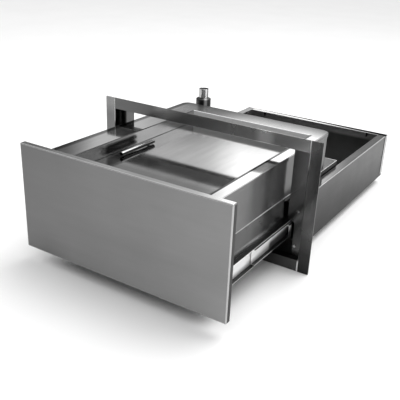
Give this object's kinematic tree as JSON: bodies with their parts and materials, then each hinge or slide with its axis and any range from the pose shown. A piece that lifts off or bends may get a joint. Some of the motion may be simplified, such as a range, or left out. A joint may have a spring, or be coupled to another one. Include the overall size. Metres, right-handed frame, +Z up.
{
  "type": "outdoor kitchen drawer unit",
  "caption": "Built-in stainless drawer for an outdoor kitchen island: flat trim frame, open-topped housing, and an insulated drawer with a lift-off lid, on telescopic slides.",
  "frame": {"origin": "the middle of the bottom trim rail's back face, where the trim frame bears on the island's wall", "axes": "+X to the right seen from the front, +Y into the island, +Z up; the front panel faces -Y and the drawer opens along -Y"},
  "size_m": [0.708, 1.196, 0.379],
  "materials": {
    "panel_steel": "brushed along the panel's width",
    "trim_steel": "brushed along each stile and rail",
    "jamb_steel": "brushed",
    "housing_steel": "brushed along the housing's depth",
    "sheet_steel": "brushed",
    "deck_steel": "fine brushed, glossy",
    "lid_steel": "fine brushed, almost a mirror",
    "handle_steel": "polished tube",
    "slide_steel": "bright zinc-plated steel",
    "cage_steel": "plain steel strip",
    "ball_steel": "polished",
    "screw_steel": "plain",
    "pipe_steel": "polished tube",
    "nut_metal": "plain",
    "black_rubber": "matte",
    "foam": "rigid foam"
  },
  "bodies": {
    "frame": {"trim_stile_left": "trim_steel", "trim_stile_right": "trim_steel", "trim_rail_top": "trim_steel", "trim_rail_bottom": "trim_steel", "jamb_left": "jamb_steel", "jamb_right": "jamb_steel", "housing_side_left": "housing_steel", "housing_side_right": "housing_steel", "housing_rear": "housing_steel", "housing_floor": "housing_steel", "slide_bracket_left": "housing_steel", "slide_bracket_right": "housing_steel", "slide_wall_member_left": "slide_steel", "slide_wall_member_right": "slide_steel", "slide_wall_screws": "screw_steel", "housing_screws": "screw_steel", "rear_stops": "black_rubber"},
    "drawer": {"slide_drawer_member_left": "slide_steel", "slide_drawer_member_right": "slide_steel", "slide_drawer_screws": "screw_steel", "panel_skin": "panel_steel", "panel_back": "sheet_steel", "panel_stiffeners": "sheet_steel", "panel_screws": "screw_steel", "panel_bumpers": "black_rubber", "lower_pan": "sheet_steel", "rear_ledge": "sheet_steel", "upper_shell": "sheet_steel", "drawer_deck": "deck_steel", "liner": "sheet_steel", "insulation": "foam", "lid_seal": "black_rubber", "pipe_riser": "pipe_steel", "pipe_nuts": "nut_metal", "pipe_coupling": "black_rubber", "pipe_tip": "pipe_steel"},
    "lid": {"lid_skin": "lid_steel", "lid_pan": "sheet_steel", "lid_foam": "foam", "handle_bar": "handle_steel", "handle_posts": "handle_steel", "handle_screws": "screw_steel"},
    "mid_left": {"slide_mid_member_left": "slide_steel"},
    "outer_cage_left": {"outer_cage_left": "cage_steel", "outer_balls_left": "ball_steel"},
    "inner_cage_left": {"inner_cage_left": "cage_steel", "inner_balls_left": "ball_steel"},
    "mid_right": {"slide_mid_member_right": "slide_steel"},
    "outer_cage_right": {"outer_cage_right": "cage_steel", "outer_balls_right": "ball_steel"},
    "inner_cage_right": {"inner_cage_right": "cage_steel", "inner_balls_right": "ball_steel"}
  },
  "joints": [
    {"name": "drawer_slide", "type": "slide", "parent": "frame", "child": "drawer", "axis": [0, -1, 0], "range_m": [-0.38, 0.27]},
    {"name": "mid_slide_left", "type": "slide", "parent": "frame", "child": "mid_left", "axis": [0, -1, 0], "range_m": [-0.19, 0.135]},
    {"name": "outer_cage_slide_left", "type": "slide", "parent": "frame", "child": "outer_cage_left", "axis": [0, -1, 0], "range_m": [-0.285, 0.2025]},
    {"name": "inner_cage_slide_left", "type": "slide", "parent": "frame", "child": "inner_cage_left", "axis": [0, -1, 0], "range_m": [-0.095, 0.0675]},
    {"name": "mid_slide_right", "type": "slide", "parent": "frame", "child": "mid_right", "axis": [0, -1, 0], "range_m": [-0.19, 0.135]},
    {"name": "outer_cage_slide_right", "type": "slide", "parent": "frame", "child": "outer_cage_right", "axis": [0, -1, 0], "range_m": [-0.285, 0.2025]},
    {"name": "inner_cage_slide_right", "type": "slide", "parent": "frame", "child": "inner_cage_right", "axis": [0, -1, 0], "range_m": [-0.095, 0.0675]},
    {"name": "lid_lift", "type": "slide", "parent": "drawer", "child": "lid", "axis": [0, 0, 1], "range_m": [0, 0.048]}
  ],
  "couplings": [
    {"joint": "mid_slide_left", "follows": "drawer_slide", "ratio": 0.5},
    {"joint": "outer_cage_slide_left", "follows": "drawer_slide", "ratio": 0.75},
    {"joint": "inner_cage_slide_left", "follows": "drawer_slide", "ratio": 0.25},
    {"joint": "mid_slide_right", "follows": "drawer_slide", "ratio": 0.5},
    {"joint": "outer_cage_slide_right", "follows": "drawer_slide", "ratio": 0.75},
    {"joint": "inner_cage_slide_right", "follows": "drawer_slide", "ratio": 0.25}
  ]
}
